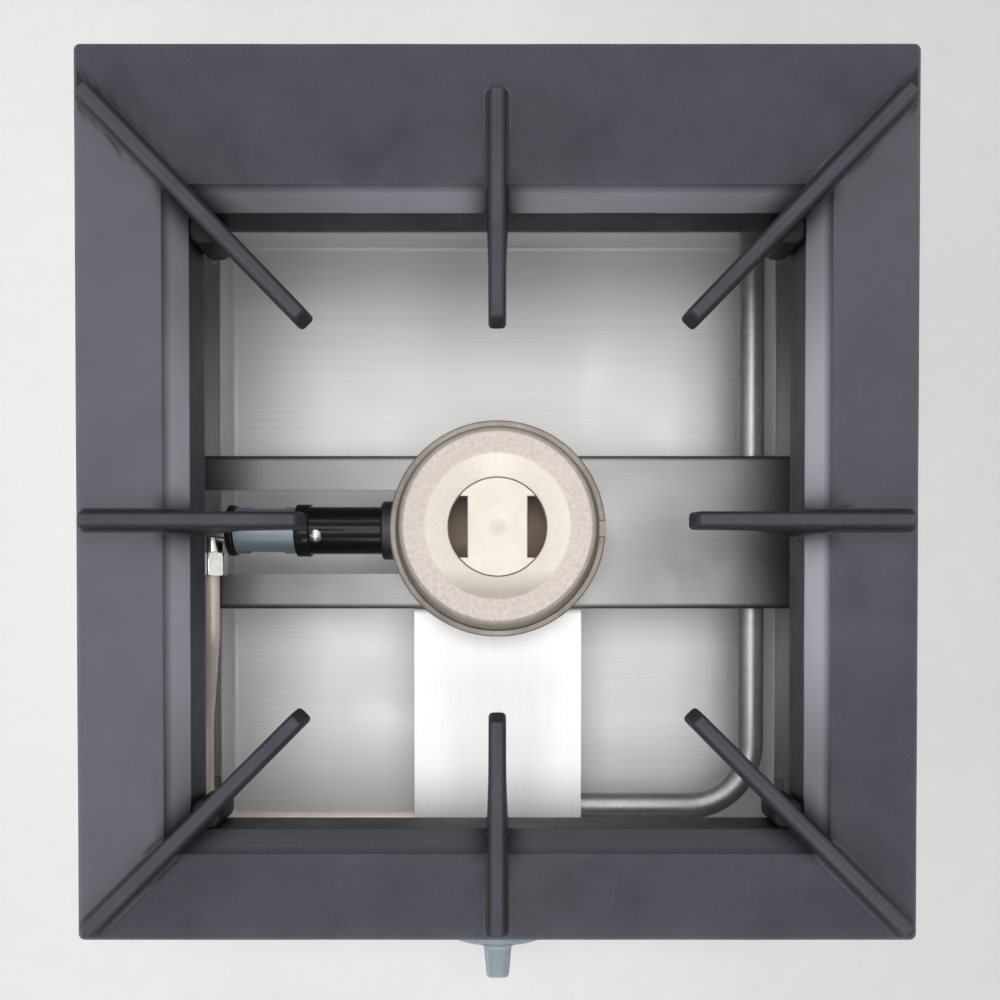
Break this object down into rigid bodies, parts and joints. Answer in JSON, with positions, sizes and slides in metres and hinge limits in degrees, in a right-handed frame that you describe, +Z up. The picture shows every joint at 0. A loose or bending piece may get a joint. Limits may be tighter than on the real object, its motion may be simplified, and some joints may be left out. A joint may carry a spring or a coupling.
{
  "type": "tabletop gas hob",
  "caption": "Square tabletop gas hob: cast-iron pan support with inward fingers over a round burner on a cross bar in a folded stainless body, with front tap knob and drip tray.",
  "frame": {"origin": "on the burner's axis, level with the surface the feet stand on", "axes": "+Z up, +Y towards the rear with the gas inlet, -Y towards the knob, +X to the right seen from the front"},
  "size_m": [0.4, 0.4994, 0.209],
  "materials": {
    "cast_iron": "matt seasoned casting, blue-grey",
    "body_steel": "brushed stainless sheet",
    "tray_steel": "smooth stainless sheet",
    "bar_steel": "long-brushed stainless bar",
    "bright_steel": "bright annealed stainless strip",
    "rubber": "matt moulded rubber",
    "burner_cap": "rough cast alloy, bead-blasted",
    "burner_bowl": "sand-cast, taupe",
    "burner_disc": "pale machined alloy",
    "black_enamel": "black stoving enamel",
    "blue_zinc": "blue-passivated zinc plate",
    "nickel": "nickel plate",
    "copper": "drawn soft copper",
    "brass": "machined brass",
    "pipe_steel": "drawn steel pipe",
    "knob_plastic": "blue-grey moulded phenolic",
    "bezel": "satin anodised disc",
    "fasteners": "bright zinc-plated screws",
    "spring_steel": "plain spring wire"
  },
  "bodies": {
    "hob_body": {"front_panel": "body_steel", "rear_panel": "body_steel", "side_panel_left": "body_steel", "side_panel_right": "body_steel", "corner_posts": "body_steel", "panel_screws": "fasteners", "rubber_feet": "rubber", "foot_screws": "fasteners", "foot_nuts": "fasteners", "cross_bar": "bar_steel", "cross_bar_screws": "fasteners", "heat_shield": "bright_steel", "shield_screws": "fasteners", "burner_bowl": "burner_bowl", "burner_bolts": "fasteners", "burner_centre_disc": "burner_disc", "mixing_tube": "black_enamel", "shutter_lock_screw": "fasteners", "injector_flange": "black_enamel", "injector": "brass", "injector_elbow": "nickel", "tube_nuts": "nickel", "copper_feed_tube": "copper", "supply_pipe": "pipe_steel", "pipe_nuts": "brass", "inlet_fitting": "brass", "inlet_locknut": "brass", "tap_body": "brass", "tap_bonnet": "brass", "tap_screws": "fasteners", "knob_bezel": "bezel"},
    "pan_support_body": {"pan_support": "cast_iron"},
    "burner_cap_body": {"burner_cap": "burner_cap"},
    "air_shutter_body": {"air_shutter": "blue_zinc"},
    "drip_tray_body": {"drip_tray": "tray_steel"},
    "tap_plug_body": {"tap_plug": "brass", "tap_spring": "spring_steel"},
    "knob_body": {"knob": "knob_plastic", "tap_spindle": "brass"}
  },
  "joints": [
    {"name": "pan_support_lift", "type": "slide", "parent": "hob_body", "child": "pan_support_body", "axis": [0, 0, 1], "range_m": [0, 0.1]},
    {"name": "burner_cap_lift", "type": "slide", "parent": "hob_body", "child": "burner_cap_body", "axis": [0, 0, 1], "range_m": [0, 0.04]},
    {"name": "air_shutter_turn", "type": "hinge", "parent": "hob_body", "child": "air_shutter_body", "pos_m": [-0.1263, 0, 0.122], "axis": [1, 0, 0], "range_deg": [0, 60]},
    {"name": "drip_tray_slide", "type": "slide", "parent": "hob_body", "child": "drip_tray_body", "axis": [0, -1, 0], "range_m": [0, 0.3]},
    {"name": "knob_turn", "type": "hinge", "parent": "hob_body", "child": "tap_plug_body", "pos_m": [0, -0.1785, 0.089], "axis": [0, -1, 0], "range_deg": [0, 180]},
    {"name": "knob_push", "type": "slide", "parent": "tap_plug_body", "child": "knob_body", "axis": [0, 1, 0], "range_m": [0, 0.003], "stiffness_N_per_m": 800, "springref_m": -0.005, "deforming": ["tap_spring"]}
  ]
}
